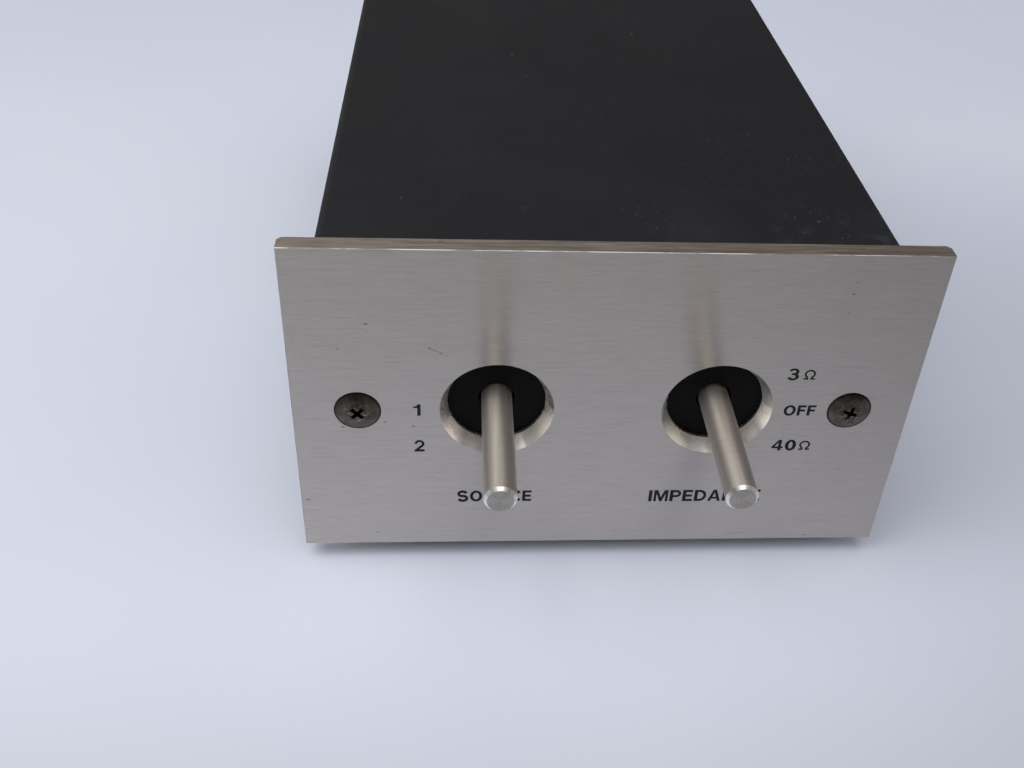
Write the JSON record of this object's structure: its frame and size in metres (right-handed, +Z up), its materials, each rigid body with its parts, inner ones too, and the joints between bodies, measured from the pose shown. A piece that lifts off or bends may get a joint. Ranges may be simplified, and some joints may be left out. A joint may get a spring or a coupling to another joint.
{
  "type": "moving coil step-up unit",
  "caption": "Small case with a thick brushed front panel, lever switches with sliding dust shields in bevelled openings, shielded transformers inside and phono sockets behind.",
  "frame": {"origin": "on the table, under the middle of the part's overall box", "axes": "+X to the right along the panel, +Y from the lever tips to the rear sockets, +Z up"},
  "size_m": [0.107, 0.1914, 0.0673],
  "materials": {
    "panel_alloy": "horizontally brushed, satin",
    "lever_alloy": "turned, satin",
    "screw_steel": "dulled plated steel",
    "case_paint": "satin black, slightly textured",
    "plated_steel": "zinc plated",
    "foot_rubber": "matte",
    "black_fibre": "matte black",
    "phenolic": "brown laminate",
    "hub_brass": "turned",
    "nickel": "bright plated",
    "white_plug": "satin",
    "red_plug": "satin",
    "shield_metal": "drawn shield metal",
    "core_steel": "stacked laminations",
    "winding": "enamelled copper wire",
    "lead_red": "sleeve",
    "lead_blue": "sleeve",
    "lead_grey": "sleeve",
    "lead_yellow": "sleeve"
  },
  "bodies": {
    "case": {"front_panel": "panel_alloy", "panel_screws": "screw_steel", "panel_nuts": "plated_steel", "chassis": "plated_steel", "cover": "case_paint", "cover_screws": "case_paint", "feet": "foot_rubber", "foot_screws": "plated_steel", "switch_screws": "plated_steel", "left_can": "shield_metal", "left_grommet": "foot_rubber", "left_core": "core_steel", "left_coil": "winding", "left_pad": "phenolic", "right_can": "shield_metal", "right_grommet": "foot_rubber", "right_core": "core_steel", "right_coil": "winding", "right_pad": "phenolic", "can_screws": "plated_steel", "socket_board": "phenolic", "board_rivets": "plated_steel", "socket_shells": "nickel", "left_insulators": "white_plug", "right_insulators": "red_plug", "socket_contacts": "hub_brass", "earth_post": "nickel", "earth_lock_nut": "plated_steel", "first_input_lead": "lead_red", "second_input_lead": "lead_blue", "link_lead": "lead_grey", "output_lead": "lead_grey", "left_can_lead": "lead_yellow", "right_can_lead": "lead_yellow", "pickup_pivot_pin": "plated_steel", "pickup_frame": "plated_steel", "pickup_contact_body": "phenolic", "pickup_terminals": "nickel", "pickup_detent_spring": "nickel", "selector_pivot_pin": "plated_steel", "selector_frame": "plated_steel", "selector_contact_body": "phenolic", "selector_terminals": "nickel", "selector_detent_spring": "nickel"},
    "pickup_arm": {"pickup_lever": "lever_alloy", "pickup_hub": "hub_brass"},
    "pickup_shield": {"pickup_dust_shield": "black_fibre"},
    "pickup_slide": {"pickup_slider": "black_fibre"},
    "selector_arm": {"selector_lever": "lever_alloy", "selector_hub": "hub_brass"},
    "selector_shield": {"selector_dust_shield": "black_fibre"},
    "selector_slide": {"selector_slider": "black_fibre"},
    "terminal_washer": {"earth_washer": "nickel"},
    "terminal_nut": {"earth_thumb_nut": "nickel"}
  },
  "joints": [
    {"name": "pickup_tilt", "type": "hinge", "parent": "case", "child": "pickup_arm", "pos_m": [-0.0191, -0.05835, 0.0355], "axis": [1, 0, 0], "range_deg": [0, 14], "deforming": ["pickup_detent_spring"]},
    {"name": "pickup_shield_travel", "type": "slide", "parent": "case", "child": "pickup_shield", "axis": [0, 0, -1], "range_m": [0, 0.00282]},
    {"name": "pickup_slider_travel", "type": "slide", "parent": "case", "child": "pickup_slide", "axis": [0, 0, 1], "range_m": [0, 0.00291]},
    {"name": "selector_tilt", "type": "hinge", "parent": "case", "child": "selector_arm", "pos_m": [0.0191, -0.05835, 0.0355], "axis": [1, 0, 0], "range_deg": [-14, 14], "deforming": ["selector_detent_spring"]},
    {"name": "selector_shield_travel", "type": "slide", "parent": "case", "child": "selector_shield", "axis": [0, 0, -1], "range_m": [-0.00282, 0.00282]},
    {"name": "selector_slider_travel", "type": "slide", "parent": "case", "child": "selector_slide", "axis": [0, 0, 1], "range_m": [-0.00291, 0.00291]},
    {"name": "terminal_travel", "type": "slide", "parent": "case", "child": "terminal_washer", "axis": [0, 1, 0], "range_m": [0, 0.0021]},
    {"name": "terminal_turn", "type": "hinge", "parent": "terminal_washer", "child": "terminal_nut", "pos_m": [-0.036, 0.09015, 0.0355], "axis": [0, 1, 0], "range_deg": [0, 1080]}
  ],
  "couplings": [
    {"joint": "pickup_shield_travel", "follows": "pickup_tilt", "m_per_rad": 0.01153},
    {"joint": "pickup_slider_travel", "follows": "pickup_tilt", "m_per_rad": 0.01188},
    {"joint": "selector_shield_travel", "follows": "selector_tilt", "m_per_rad": 0.01153},
    {"joint": "selector_slider_travel", "follows": "selector_tilt", "m_per_rad": 0.01188},
    {"joint": "terminal_turn", "follows": "terminal_travel", "rad_per_m": 8976}
  ]
}
